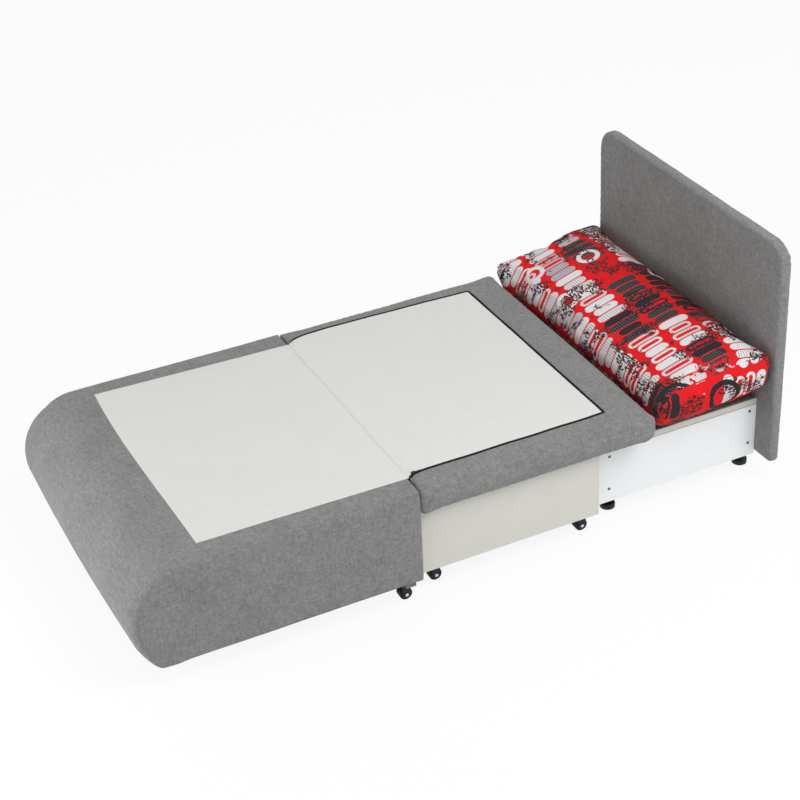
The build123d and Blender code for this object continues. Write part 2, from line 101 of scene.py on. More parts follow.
def grain(tree, place, scale, detail=2.0, rough=0.55):
    moved = addNode(tree, "ShaderNodeMapping", {"Vector": place, "Scale": scale}).outputs[0]
    inputs = {"Vector": moved, "Scale": 1.0, "Detail": detail, "Roughness": rough}
    return addNode(tree, "ShaderNodeTexNoise", inputs).outputs["Fac"]


def spread(tree, value, low, high, newLow=0.0, newHigh=1.0):
    inputs = {"Value": value, "From Min": low, "From Max": high, "To Min": newLow, "To Max": newHigh}
    return addNode(tree, "ShaderNodeMapRange", inputs).outputs[0]


def newMaterial(name, roughness, metallic=0.0, sheen=0.0, specular=0.5):
    material = bpy.data.materials.new(name)
    material.use_nodes = True
    shader = material.node_tree.nodes["Principled BSDF"]
    shader.inputs["Roughness"].default_value = roughness
    shader.inputs["Metallic"].default_value = metallic
    shader.inputs["Specular IOR Level"].default_value = specular
    shader.inputs["Sheen Weight"].default_value = sheen
    place = addNode(material.node_tree, "ShaderNodeTexCoord").outputs["Object"]
    return material, material.node_tree, shader, place


def bump(tree, shader, height, depth, strength=1.0):
    inputs = {"Height": height, "Distance": depth, "Strength": strength}
    tree.links.new(addNode(tree, "ShaderNodeBump", inputs).outputs[0], shader.inputs["Normal"])


# finishes

clothMix = {"threads": 0.45, "flecks": 0.42, "patches": 0.13, "patchesPerMetre": 9, "specular": 0.25}


def wovenCloth(name, look):
    material, tree, shader, place = newMaterial(
        name, look["roughness"], sheen=look["sheen"], specular=clothMix["specular"]
    )

    def woven(across, along, detail):
        # the same yarns laid along each of the three directions, so that every face shows the weave
        scales = [[along if axis == way else across for axis in range(3)] for way in range(3)]
        layers = [grain(tree, place, scale, detail) for scale in scales]
        return calc(tree, "ADD", calc(tree, "ADD", layers[0], layers[1]), layers[2])

    def weighed(layer, key):
        return calc(tree, "MULTIPLY", layer, clothMix[key])

    threads = spread(tree, woven(look["threadsPerMetre"], look["slubsPerMetre"], 2.0), 1.15, 1.85)
    flecks = spread(tree, woven(look["flecksPerMetre"], look["flecksPerMetre"] / 4, 3.0), 1.2, 1.8)
    patches = spread(tree, grain(tree, place, [clothMix["patchesPerMetre"]] * 3, 3.0), 0.3, 0.7)
    share = calc(tree, "ADD", weighed(threads, "threads"), weighed(flecks, "flecks"))
    share = calc(tree, "ADD", share, weighed(patches, "patches"))
    tree.links.new(ramp(tree, share, look["colours"]), shader.inputs["Base Color"])
    rough = spread(tree, threads, 0, 1, look["roughness"] + 0.05, look["roughness"] - 0.07)
    tree.links.new(rough, shader.inputs["Roughness"])
    bump(tree, shader, calc(tree, "ADD", threads, calc(tree, "MULTIPLY", flecks, 0.5)), look["relief"])
    return material


greyCloth = wovenCloth("greyCloth", {
    "threadsPerMetre": 1150, "slubsPerMetre": 90, "flecksPerMetre": 170,
    "roughness": 0.9, "sheen": 0.15, "relief": 0.0005,
    "colours": [(0.15, (0.158, 0.161, 0.158)), (0.5, (0.226, 0.230, 0.226)), (0.85, (0.305, 0.310, 0.304))],
})
creamCloth = wovenCloth("creamCloth", {
    "threadsPerMetre": 1500, "slubsPerMetre": 200, "flecksPerMetre": 260,
    "roughness": 0.82, "sheen": 0.05, "relief": 0.00012,
    "colours": [(0.15, (0.69, 0.70, 0.665)), (0.5, (0.725, 0.735, 0.70)), (0.85, (0.755, 0.765, 0.73))],
})
darkLining = wovenCloth("darkLining", {
    "threadsPerMetre": 1300, "slubsPerMetre": 160, "flecksPerMetre": 240,
    "roughness": 0.85, "sheen": 0.05, "relief": 0.0002,
    "colours": [(0.2, (0.15, 0.138, 0.13)), (0.5, (0.20, 0.185, 0.175)), (0.8, (0.26, 0.242, 0.23))],
})


printChances = {
    "slide": 1, "height": 2, "hatch": 3, "tint": 4, "bare": 5,
    "ringSlide": 6, "ringSize": 7, "ringShown": 8, "ringTint": 9, "hollow": 10,
}


def printedCotton(name, look):
    # rows of rounded bars, rings and hatched patches on red, laid out over the cloth's own UV map
    material, tree, shader, place = newMaterial(name, 0.85, specular=0.12)
    cloth = addNode(tree, "ShaderNodeUVMap", uv_map="cloth").outputs[0]
    parts = addNode(tree, "ShaderNodeSeparateXYZ", {0: cloth}).outputs
    across, along = parts[0], parts[1]

    def plus(a, b):
        return calc(tree, "ADD", a, b)

    def minus(a, b):
        return calc(tree, "SUBTRACT", a, b)

    def times(a, b):
        return calc(tree, "MULTIPLY", a, b)

    def above(a, b):
        return calc(tree, "GREATER_THAN", a, b)

    def below(a, b):
        return calc(tree, "LESS_THAN", a, b)

    def distance(a, b):
        return calc(tree, "SQRT", plus(calc(tree, "POWER", a, 2.0), calc(tree, "POWER", b, 2.0)))

    def inside(gap):
        return spread(tree, gap, look["edge"], -look["edge"])

    def chance(a, b, use):
        spot = addNode(tree, "ShaderNodeCombineXYZ", {0: a, 1: b, 2: float(printChances[use])}).outputs[0]
        return addNode(tree, "ShaderNodeTexWhiteNoise", {"Vector": spot}).outputs["Value"]

    def cell(value, size, offset=0.0):
        scaled = plus(calc(tree, "DIVIDE", value, size), offset)
        index = calc(tree, "FLOOR", scaled)
        return index, minus(minus(scaled, index), 0.5)

    row, rowPlace = cell(along, look["rowHeight"])
    slide = times(chance(row, 0.0, "slide"), look["rowSlide"])
    column, columnPlace = cell(across, look["barPitch"], slide)
    height = spread(tree, chance(column, row, "height"), 0, 1, look["shortest"] / 2, look["tallest"] / 2)
    radius = look["barWidth"] / 2
    sideways = times(columnPlace, look["barPitch"])
    upwards = calc(tree, "ABSOLUTE", times(rowPlace, look["rowHeight"]))
    reach = distance(sideways, calc(tree, "MAXIMUM", minus(upwards, minus(height, radius)), 0.0))
    hollow = below(chance(column, row, "hollow"), look["hollowShare"])
    core = times(inside(minus(reach, radius * look["coreShare"])), hollow)
    bars = minus(inside(minus(reach, radius)), core)
    word = calc(tree, "FLOOR", calc(tree, "DIVIDE", column, look["barsPerWord"]))
    bars = times(bars, above(chance(word, row, "bare"), look["bareShare"]))
    lines = {"Vector": cloth, "Scale": look["hatchScale"], "Distortion": 1.5, "Detail": 1.0}
    stripes = addNode(tree, "ShaderNodeTexWave", lines, bands_direction="Y").outputs["Fac"]
    hatched = above(chance(column, row, "hatch"), look["plainShare"])
    hatch = times(above(stripes, look["hatchGap"]), hatched)
    tints = [(0.0, look["white"]), (look["paleFrom"], look["paleGrey"]), (look["inkFrom"], look["ink"])]
    barColour = ramp(tree, chance(word, row, "tint"), tints)
    barColour.node.color_ramp.interpolation = "CONSTANT"
    barColour = mixColour(tree, times(hatch, look["hatchShare"]), barColour, (*look["midGrey"], 1))
    colour = mixColour(tree, bars, (*look["red"], 1), barColour)

    pitch = look["ringPitch"]
    bigRow, bigRowPlace = cell(along, pitch, look["ringOffset"])
    bigSlide = times(chance(bigRow, 0.0, "ringSlide"), look["ringSlide"])
    bigColumn, bigColumnPlace = cell(across, pitch * look["ringStretch"], bigSlide)
    away = distance(times(bigColumnPlace, pitch * look["ringStretch"]), times(bigRowPlace, pitch))
    size = spread(tree, chance(bigColumn, bigRow, "ringSize"), 0, 1, *look["ringRadius"])
    rings = inside(minus(calc(tree, "ABSOLUTE", minus(away, size)), look["ringWidth"] / 2))
    rings = times(rings, below(chance(bigColumn, bigRow, "ringShown"), look["ringShare"]))
    dark = above(chance(bigColumn, bigRow, "ringTint"), look["whiteRingShare"])
    colour = mixColour(tree, rings, colour, mixColour(tree, dark, (*look["white"], 1), (*look["ink"], 1)))

    patches = grain(tree, cloth, look["patchScale"], 3.0, 0.6)
    scribble = grain(tree, cloth, look["scribbleScale"], 2.0, 0.7)
    smudge = times(spread(tree, patches, *look["patchEdge"]), spread(tree, scribble, *look["scribbleEdge"]))
    colour = mixColour(tree, smudge, colour, (*look["ink"], 1))
    weave = plus(grain(tree, place, (120, 1500, 1500)), grain(tree, place, (1500, 120, 1500)))
    fibre = spread(tree, weave, 0.75, 1.25, 0.0, look["fibreShare"])
    colour = mixColour(tree, fibre, colour, (*look["fibre"], 1))
    tree.links.new(colour, shader.inputs["Base Color"])
    bump(tree, shader, weave, 0.0003)
    return material


redCotton = printedCotton("redCotton", {
    "rowHeight": 0.098, "rowSlide": 7.0, "barPitch": 0.033, "barWidth": 0.0285, "barsPerWord": 4.0,
    "shortest": 0.066, "tallest": 0.094, "bareShare": 0.08, "hollowShare": 0.27, "coreShare": 0.42,
    "hatchScale": 44.0, "hatchGap": 0.72, "hatchShare": 0.55, "plainShare": 0.45, "edge": 0.0006,
    "ringPitch": 0.15, "ringStretch": 1.25, "ringOffset": 0.3, "ringSlide": 3.0, "ringWidth": 0.014,
    "ringRadius": (0.02, 0.042), "ringShare": 0.45, "whiteRingShare": 0.4,
    "patchScale": (11, 11, 11), "patchEdge": (0.52, 0.54),
    "scribbleScale": (90, 190, 150), "scribbleEdge": (0.47, 0.5),
    "paleFrom": 0.42, "inkFrom": 0.64, "red": (0.72, 0.007, 0.010), "white": (0.72, 0.72, 0.73),
    "paleGrey": (0.46, 0.47, 0.49), "midGrey": (0.16, 0.16, 0.17), "ink": (0.018, 0.018, 0.022),
    "fibre": (0.75, 0.72, 0.7), "fibreShare": 0.02,
})


def boardFinish(name, colour, shade, roughness):
    material, tree, shader, place = newMaterial(name, roughness, specular=0.4)
    clouds = spread(tree, grain(tree, place, (14, 14, 14), 4.0), 0.3, 0.7)
    pores = spread(tree, grain(tree, place, (520, 520, 520), 2.0), 0.35, 0.65)
    share = calc(tree, "ADD", calc(tree, "MULTIPLY", clouds, 0.7), calc(tree, "MULTIPLY", pores, 0.3))
    tree.links.new(mixColour(tree, share, (*shade, 1), (*colour, 1)), shader.inputs["Base Color"])
    tree.links.new(spread(tree, clouds, 0, 1, roughness - 0.05, roughness + 0.08), shader.inputs["Roughness"])
    bump(tree, shader, pores, 0.00008)
    return material


def rawWood(name, light, dark):
    material, tree, shader, place = newMaterial(name, 0.72, specular=0.3)
    chips = addNode(tree, "ShaderNodeTexVoronoi", {"Vector": place, "Scale": 210.0, "Randomness": 1.0})
    tones = addNode(tree, "ShaderNodeSeparateColor", {0: chips.outputs["Color"]}).outputs[0]
    clouds = grain(tree, place, (30, 30, 30), 3.0)
    share = calc(tree, "ADD", calc(tree, "MULTIPLY", tones, 0.6), calc(tree, "MULTIPLY", clouds, 0.4))
    tree.links.new(ramp(tree, share, [(0.2, dark), (0.75, light)]), shader.inputs["Base Color"])
    bump(tree, shader, tones, 0.0002)
    return material


def plainFinish(name, colour, roughness, metallic=0.0, relief=0.00006, specular=0.5):
    material, tree, shader, place = newMaterial(name, roughness, metallic=metallic, specular=specular)
    fine = spread(tree, grain(tree, place, (900, 900, 900), 2.0), 0.3, 0.7)
    wear = spread(tree, grain(tree, place, (70, 70, 70), 4.0), 0.35, 0.75)
    lighter = tuple(min(1.0, c * 1.3 + 0.004) for c in colour)
    tree.links.new(mixColour(tree, wear, (*colour, 1), (*lighter, 1)), shader.inputs["Base Color"])
    tree.links.new(spread(tree, wear, 0, 1, roughness - 0.08, roughness + 0.1), shader.inputs["Roughness"])
    bump(tree, shader, fine, relief)
    return material


finishes = {
    "whiteBoard": boardFinish("whiteBoard", (0.87, 0.90, 0.91), (0.84, 0.875, 0.89), 0.42),
    "paleBoard": boardFinish("paleBoard", (0.66, 0.65, 0.605), (0.625, 0.615, 0.57), 0.5),
    "rawBoard": rawWood("rawBoard", (0.62, 0.47, 0.30), (0.40, 0.27, 0.15)),
    "hardboard": rawWood("hardboard", (0.30, 0.18, 0.09), (0.20, 0.11, 0.05)),
    "blackPlastic": plainFinish("blackPlastic", (0.008, 0.008, 0.009), 0.5, specular=0.3),
    # painted shade: the pale block at the front, which stands in shade, is given this darker grey
    "paintedShadePlastic": plainFinish("paintedShadePlastic", (0.17, 0.172, 0.17), 0.6, specular=0.25),
    "rollerRubber": plainFinish("rollerRubber", (0.008, 0.008, 0.009), 0.6, specular=0.25),
    "whitePlastic": plainFinish("whitePlastic", (0.72, 0.72, 0.70), 0.4),
    "zincSteel": plainFinish("zincSteel", (0.56, 0.57, 0.58), 0.34, 1.0),
    "agedSteel": plainFinish("agedSteel", (0.10, 0.105, 0.11), 0.5, 0.6),
    "zipTape": plainFinish("zipTape", (0.006, 0.006, 0.007), 0.75, specular=0.2),
    "blackMetal": plainFinish("blackMetal", (0.009, 0.009, 0.010), 0.5, specular=0.3),
}
slotFinish = {
    "white_board": "whiteBoard", "pale_board": "paleBoard", "raw_board": "rawBoard", "hardboard": "hardboard",
    "black_plastic": "blackPlastic", "grey_plastic": "paintedShadePlastic", "white_plastic": "whitePlastic",
    "roller_rubber": "rollerRubber", "zinc_steel": "zincSteel", "black_metal": "blackMetal",
}
for part in frame["record"]["subparts"]:
    if part["material_slot"] in slotFinish:
        aged = part["node"].endswith("_screws")
        finish = finishes["agedSteel" if aged else slotFinish[part["material_slot"]]]
        for holder in nodes[part["node"]].material_slots:
            holder.material = finish
print("finishes made")


# shaping helpers

def pieceFrom(name, mesh, body, material, replaced=()):
    if isinstance(mesh, bmesh.types.BMesh):
        shape = bpy.data.meshes.new(name)
        mesh.to_mesh(shape)
        mesh.free()
        mesh = shape
    piece = bpy.data.objects.new(name, mesh)
    scene.collection.objects.link(piece)
    piece.data.materials.clear()
    piece.data.materials.append(material)
    if body:
        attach(piece, body)
    if replaced:
        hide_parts(*replaced)
    return piece


def copyOf(sources):
    bm = bmesh.new()
    for source in sources:
        bm.from_mesh(nodes[source].data)
    return bm


def applyModifiers(piece):
    depsgraph = bpy.context.evaluated_depsgraph_get()
    mesh = bpy.data.meshes.new_from_object(piece.evaluated_get(depsgraph))
    piece.modifiers.clear()
    piece.data = mesh
    mesh.polygons.foreach_set("use_smooth", [True] * len(mesh.polygons))


def remesh(piece, voxel, rounds, factor=0.5):
    step = piece.modifiers.new("remesh", "REMESH")
    step.mode = "VOXEL"
    step.voxel_size = voxel
    smooth = piece.modifiers.new("smooth", "SMOOTH")
    smooth.factor = factor
    smooth.iterations = rounds
    applyModifiers(piece)


def pointsOf(piece):
    flat = np.empty(len(piece.data.vertices) * 3)
    piece.data.vertices.foreach_get("co", flat)
    return flat.reshape(-1, 3)


def normalsOf(piece):
    flat = np.empty(len(piece.data.vertices) * 3)
    piece.data.vertices.foreach_get("normal", flat)
    return flat.reshape(-1, 3)


def movePoints(piece, points):
    piece.data.vertices.foreach_set("co", points.ravel())
    piece.data.update()


def fit(piece, sources, swell, level=0.0):
    # lay the smoothed skin back on the outer solids, a little fuller at the sides than above
    bm = copyOf(sources)
    outer = BVHTree.FromBMesh(bm)
    bm.free()
    points, normals = pointsOf(piece), normalsOf(piece)
    for index, (point, normal) in enumerate(zip(points, normals)):
        way = Vector(normal)
        spot, _, _, _ = outer.ray_cast(Vector(point) + way * 0.012, -way, 0.018)
        if spot is not None:
            points[index] = spot + way * (swell + (level - swell) * abs(way.z))
    movePoints(piece, points)
    step = piece.modifiers.new("smooth", "SMOOTH")
    step.factor = 0.35
    step.iterations = 1
    applyModifiers(piece)


def ripple(points, scale, seed=0.0):
    scale = Vector(scale)
    places = (Vector((p[0] * scale.x + seed, p[1] * scale.y, p[2] * scale.z)) for p in points)
    return np.array([noise.noise(place) for place in places])


def uneven(points, look):
    # slow waves and small ones, as stuffed cloth has
    slow = look["waves"] * ripple(points, look["waveScale"], look["seeds"][0])
    return slow + look["smallWaves"] * ripple(points, look["smallScale"], look["seeds"][1])


def surfaceOf(piece):
    mesh = piece.data
    return BVHTree.FromPolygons([v.co for v in mesh.vertices], [tuple(f.vertices) for f in mesh.polygons])


def pathLength(path):
    steps = np.linalg.norm(np.diff(path, axis=0), axis=1)
    return np.concatenate([[0.0], np.cumsum(steps)])


def alongPath(path, count):
    path = np.array(path)
    length = pathLength(path)
    places = np.linspace(0, length[-1], count)
    return np.stack([np.interp(places, length, path[:, axis]) for axis in range(3)], axis=1)


def nearestOn(path, points, chunk=4000):
    # distance from each point to a densely sampled path, and which sample is nearest
    distance = np.empty(len(points))
    index = np.empty(len(points), dtype=int)
    for start in range(0, len(points), chunk):
        gap = np.linalg.norm(points[start:start + chunk, None, :] - path[None, :, :], axis=2)
        index[start:start + chunk] = gap.argmin(axis=1)
        distance[start:start + chunk] = gap.min(axis=1)
    return distance, index


grooveStep = 0.004


def groove(piece, paths, width, depth, pucker=0.0, pitch=0.02, strength=None):
    # a sewn seam draws the cloth in along its line, and puckers it a little on both sides
    points, normals = pointsOf(piece), normalsOf(piece)
    for path in paths:
        dense = alongPath(path, max(40, int(pathLength(np.array(path))[-1] / grooveStep)))
        low, high = dense.min(0) - 4 * width, dense.max(0) + 4 * width
        near = np.where(((points > low) & (points < high)).all(axis=1))[0]
        distance, index = nearestOn(dense, points[near])
        draw = depth * np.exp(-(distance / width) ** 2)
        if strength is not None:
            draw = draw * strength(dense)[index]
        along = index * grooveStep
        wave = np.sin(2 * math.pi * along / pitch + 1.7 * np.sin(along * 31.0))
        beside = 1 - np.exp(-(distance / width) ** 2)
        fold = pucker * wave * np.exp(-(distance / (2.6 * width)) ** 2) * beside
        points[near] -= normals[near] * (draw - fold)[:, None]
    movePoints(piece, points)


def tube(path, radius, sides, thickness):
    curve = bpy.data.curves.new("path", "CURVE")
    curve.dimensions = "3D"
    curve.bevel_depth = radius
    curve.bevel_resolution = max(1, sides // 4 - 1)
    curve.use_fill_caps = True
    spline = curve.splines.new("NURBS")
    spline.points.add(len(path) - 1)
    for point, place, share in zip(spline.points, path, thickness):
        point.co = (*place, 1.0)
        point.radius = share
    spline.order_u = 3
    spline.use_endpoint_u = True
    spline.resolution_u = 3
    holder = bpy.data.objects.new("path", curve)
    scene.collection.objects.link(holder)
    mesh = bpy.data.meshes.new_from_object(holder.evaluated_get(bpy.context.evaluated_depsgraph_get()))
    bpy.data.objects.remove(holder)
    bm = bmesh.new()
    bm.from_mesh(mesh)
    bpy.data.meshes.remove(mesh)
    for face in bm.faces:
        face.smooth = True
    return bm


def puff(piece, air):
    # cloth under a little inner pressure, held to within a few millimetres of where it began
    before = pointsOf(piece)
    cloth = piece.modifiers.new("cloth", "CLOTH")
    settings = cloth.settings
    settings.quality = 6
    settings.mass = 0.25
    settings.tension_stiffness = air["stiffness"]
    settings.compression_stiffness = air["stiffness"]
    settings.shear_stiffness = air["stiffness"] / 2
    settings.bending_stiffness = air["bending"]
    settings.use_pressure = True
    settings.uniform_pressure_force = air["pressure"]
    settings.shrink_min = air["shrink"]
    settings.effector_weights.gravity = 0.0
    if "held" in air:
        group = piece.vertex_groups.new(name="held")
        for index, weight in enumerate(air["held"](before)):
            if weight > 0:
                group.add([index], float(weight), "REPLACE")
        settings.vertex_group_mass = "held"
    cloth.point_cache.frame_start = 1
    cloth.point_cache.frame_end = air["frames"]
    for number in range(1, air["frames"] + 1):
        scene.frame_set(number)
    applyModifiers(piece)
    piece.vertex_groups.clear()
    after = pointsOf(piece)
    shift = after - before
    length = np.maximum(np.linalg.norm(shift, axis=1), 1e-9)
    movePoints(piece, before + shift * np.minimum(1.0, air["cap"] / length)[:, None])
    scene.frame_set(1)


# front section: one padded cover round the frame, open underneath

frontLook = {
    "voxel": 0.0058, "swell": 0.0016, "waves": 0.0011, "smallWaves": 0.0004,
    "waveScale": (7, 5, 8), "smallScale": (26, 19, 30), "seeds": (0.0, 5.0),
    "seamInsetTop": 0.008, "seamWidth": 0.0052, "seamDepth": 0.0040, "seamFade": 0.10,
    "pucker": 0.0003, "puckerPitch": 0.03,
    "hollowWidth": 0.015, "hollowDepth": 0.0045, "hollowOffset": 0.014,
    "sag": 0.009, "sagPlace": 0.700, "sagReach": 0.045, "sagWidth": 0.10, "sagFade": 0.08, "sagHeight": 0.07,
    "farFullness": 0.006, "farLength": 0.56,
}
low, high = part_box("front_cover")
frontEnd, noseTip, frontTop, frontSide, frontFoot = high.y, low.y, high.z, high.x, low.z
frontCover = pieceFrom(
    "frontCover",
    copyOf(("front_cover", "front_lining", "front_top_foam", "front_side_foam", "front_nose_foam")),
    "front_section", greyCloth,
    ("front_cover", "front_top_foam", "front_side_foam", "front_nose_foam"),
)
remesh(frontCover, frontLook["voxel"], 3)
fit(frontCover, ("front_cover", "front_lining"), frontLook["swell"])
points, normals = pointsOf(frontCover), normalsOf(frontCover)
jointY, jointGap = (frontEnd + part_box("pad_cover")[0].y) / 2, 0.0004
points = points + normals * uneven(points, frontLook)[:, None]
points[:, 1] = np.minimum(points[:, 1], jointY - jointGap)
# the cloth hangs a little lower at the nose's lower corners, and is fuller along the far side
sag = np.exp(-((points[:, 1] - jointY + frontLook["sagPlace"]) / frontLook["sagReach"]) ** 2)
sag *= np.clip((np.abs(points[:, 0]) - frontSide + frontLook["sagWidth"]) / frontLook["sagFade"], 0, 1)
sag *= np.clip(1 - (points[:, 2] - frontFoot) / frontLook["sagHeight"], 0, 1)
points[:, 2] -= frontLook["sag"] * sag
toNose = np.clip((jointY - points[:, 1]) / frontLook["farLength"], 0, 1)
points[:, 0] -= frontLook["farFullness"] * toNose * np.clip(-points[:, 0] / frontSide, 0, 1) ** 2
movePoints(frontCover, points)

# the seam runs below the top edge, then round the nose where the side panel meets it
noseSeamLook = {
    "centreBack": 0.590, "centreHeight": 0.200, "radius": 0.158, "lowerRadius": 0.170,
    "start": 120, "end": 232, "fadeFrom": 0.045, "fadeLength": 0.05,
}


def noseSeam(side, inward=0.0):
    height = frontTop - frontLook["seamInsetTop"] - inward
    centreY, centreZ = jointY - noseSeamLook["centreBack"], noseSeamLook["centreHeight"]
    start, end = noseSeamLook["start"], noseSeamLook["end"]
    wider = noseSeamLook["lowerRadius"] - noseSeamLook["radius"]
    path = []
    for step in range(13):
        angle = start + (end - start) * step / 12
        reach = noseSeamLook["radius"] - inward
        if angle > 180:
            reach += wider * (angle - 180) / (end - 180)
        turn = math.radians(angle)
        path.append((centreY + reach * math.cos(turn), centreZ + reach * math.sin(turn)))
    path = [(y, z) for y, z in path if frontFoot + 0.001 < z < height]
    path = [(frontEnd + (path[0][0] - frontEnd) * step / 10, height) for step in range(10)] + path
    path.append((path[-1][0] + 0.004, frontFoot + 0.001))
    return [(side * frontSide, y, z) for y, z in path]


def noseStrength(dense):
    # deep round the nose, and hardly drawn in along the level top edge
    begin = jointY - noseSeamLook["centreBack"] - noseSeamLook["fadeFrom"]
    share = np.clip((begin - dense[:, 1]) / noseSeamLook["fadeLength"], 0, 1)
    return frontLook["seamFade"] + (1 - frontLook["seamFade"]) * share ** 0.7


surface = surfaceOf(frontCover)


def settle(path, surface, lift=0.0):
    placed = []
    for point in path:
        spot, normal, _, _ = surface.find_nearest(Vector(point))
        placed.append(tuple(spot + normal * lift))
    return placed


hollows = [settle(noseSeam(side, frontLook["hollowOffset"]), surface) for side in (-1, 1)]
groove(frontCover, hollows, frontLook["hollowWidth"], frontLook["hollowDepth"], strength=noseStrength)
frontSeams = [settle(noseSeam(side), surface) for side in (-1, 1)]
groove(
    frontCover, frontSeams, frontLook["seamWidth"], frontLook["seamDepth"],
    frontLook["pucker"], frontLook["puckerPitch"], noseStrength,
)
surface = surfaceOf(frontCover)
print("front cover:", len(frontCover.data.polygons), "faces")


# pale panels: flat cloth let into the top of the front section and the pad

panelLook = {
    "lift": 0.0007, "thickness": 0.0012, "edge": 0.0004, "cell": 0.006, "jointRoll": 0.009,
    "bow": 0.009, "bowSkew": 0.7,
    "farSide": (0.373, 0.397), "nearSide": (0.384, 0.374),
}


overTop, down = 0.05, Vector((0, 0, -1))


def palePanel(name, body, node, edges, nearY, farY, bow, surface):
    width = edges(1, nearY) - edges(-1, nearY)
    countX, countY = int(width / panelLook["cell"]), int((farY - nearY) / panelLook["cell"])
    bm = bmesh.new()
    bmesh.ops.create_grid(bm, x_segments=countX, y_segments=countY, size=1.0)
    piece = pieceFrom(name, bm, body, creamCloth, (node,))
    points = pointsOf(piece)
    across, share = points[:, 0].copy(), (1 - points[:, 1]) / 2
    points[:, 1] = farY - (farY - nearY) * share
    left, right = edges(-1, points[:, 1]), edges(1, points[:, 1])
    points[:, 0] = (left + right) / 2 + (right - left) / 2 * across
    points[:, 1] -= bow * share * (1 - across ** 2) * (1 - panelLook["bowSkew"] * across) / 1.1
    for index, point in enumerate(points):
        # beside the joint the panel stays level, and doesn't follow the cover down into it
        fromJoint = point[1] - jointY
        reachY = jointY + math.copysign(max(abs(fromJoint), panelLook["jointRoll"]), fromJoint)
        spot, _, _, _ = surface.ray_cast(Vector((point[0], reachY, frontTop + overTop)), down)
        if spot is not None:
            points[index, 2] = spot.z + panelLook["lift"]
    movePoints(piece, points)
    step = piece.modifiers.new("thickness", "SOLIDIFY")
    step.thickness = panelLook["thickness"]
    step.offset = -1
    edge = piece.modifiers.new("edge", "BEVEL")
    edge.width = panelLook["edge"]
    edge.segments = 2
    edge.limit_method = "ANGLE"
    applyModifiers(piece)
    return piece


low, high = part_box("front_lining")
frontPanelBow, frontPanelLength = panelLook["bow"], jointY - low.y


def frontEdge(side, y):
    atJoint, atNose = panelLook["nearSide" if side > 0 else "farSide"]
    return side * (atJoint + (atNose - atJoint) * (jointY - y) / frontPanelLength)


palePanel(
    "frontPanel", "front_section", "front_lining", frontEdge,
    low.y + frontPanelBow, jointY - jointGap, frontPanelBow, surface,
)
print("front panel laid")


# seat pad

padLook = {
    "voxel": 0.0056, "swell": 0.0012, "waves": 0.0012, "smallWaves": 0.0004,
    "waveScale": (6, 8, 9), "smallScale": (24, 24, 34), "seeds": (2.0, 8.0), "flatFoot": 0.008,
    "levelCell": 0.03, "levelRoom": 0.0007, "levelDepth": 0.012, "levelHalf": 0.365, "levelEnds": (0.012, 0.01),
    "seamWidth": 0.004, "seamDepth": 0.0014, "pucker": 0.0007, "puckerPitch": 0.024,
    "seamCorner": 0.03, "seamDraw": 0.0035, "seamStart": 0.004, "seamEdge": 0.002,
    "upperSeam": (0.006, 0.004), "lowerSeam": (0.013, 0.006),
    "air": {"pressure": 3.0, "stiffness": 18.0, "bending": 2.0, "shrink": -0.004, "frames": 16, "cap": 0.0035},
}
low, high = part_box("pad_cover")
padLow, padHigh = low.copy(), high.copy()
padCover = pieceFrom(
    "padCover", copyOf(("pad_cover", "pad_foam", "pad_lining", "pad_zip")), "seat_pad", greyCloth,
    ("pad_cover", "pad_foam"),
)
remesh(padCover, padLook["voxel"], 3)
fit(padCover, ("pad_cover", "pad_lining", "pad_zip"), padLook["swell"])
puff(padCover, padLook["air"])
points, normals = pointsOf(padCover), normalsOf(padCover)
lift = uneven(points, padLook)
lift = np.where(points[:, 2] < padLow.z + padLook["flatFoot"], np.minimum(lift, 0), lift)
points = points + normals * lift[:, None]
points[:, 2] = np.maximum(points[:, 2], padLow.z)
points[:, 1] = np.maximum(points[:, 1], jointY + jointGap)
# no single bump of the cover may stand through the pale panel that lies on it
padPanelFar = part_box("pad_lining")[1].y
nearEnd, farEnd = jointY + padLook["levelEnds"][0], padPanelFar - padLook["levelEnds"][1]
inner = (points[:, 1] > nearEnd) & (points[:, 1] < farEnd) & (np.abs(points[:, 0]) < padLook["levelHalf"])
inner &= points[:, 2] > padHigh.z - padLook["levelDepth"]
upper = np.where(inner)[0]
squares = np.floor(points[upper, :2] / padLook["levelCell"]).astype(int)
cells = np.unique(squares, axis=0, return_inverse=True)[1].ravel()
level = np.array([np.median(points[upper[cells == number], 2]) for number in range(cells.max() + 1)])
over = points[upper, 2] - level[cells] - padLook["levelRoom"]
points[upper, 2] -= np.maximum(over, 0)
print("bumps levelled:", int((over > 0).sum()))
movePoints(padCover, points)


def boxSeam(height, inset, sideHalf):
    # round three sides of the pad, just inside its edge
    near, far, corner = padLow.y + padLook["seamStart"], padHigh.y - inset, padLook["seamCorner"]
    path = [(sideHalf, near, height)]
    for step in range(1, 12):
        drawnIn = padLook["seamDraw"] * math.sin(math.pi * step / 12)
        path.append((sideHalf - drawnIn, near + (far - corner - near) * step / 12, height))
    for step in range(0, 5):
        angle = math.radians(22.5 * step)
        x, y = corner * math.cos(angle), corner * math.sin(angle)
        path.append((sideHalf - corner + x, far - corner + y, height))
    other = [(-x, y, z) for x, y, z in reversed(path)]
    return path + other


surface = surfaceOf(padCover)
padSeams = [
    settle(boxSeam(height, inset, padHigh.x - padLook["seamEdge"]), surface)
    for height, inset in (
        (padHigh.z - padLook["upperSeam"][0], padLook["upperSeam"][1]),
        (padLow.z + padLook["lowerSeam"][0], padLook["lowerSeam"][1]),
    )
]
groove(
    padCover, padSeams, padLook["seamWidth"], padLook["seamDepth"],
    padLook["pucker"], padLook["puckerPitch"],
)
surface = surfaceOf(padCover)
print("seat pad:", len(padCover.data.polygons), "faces")

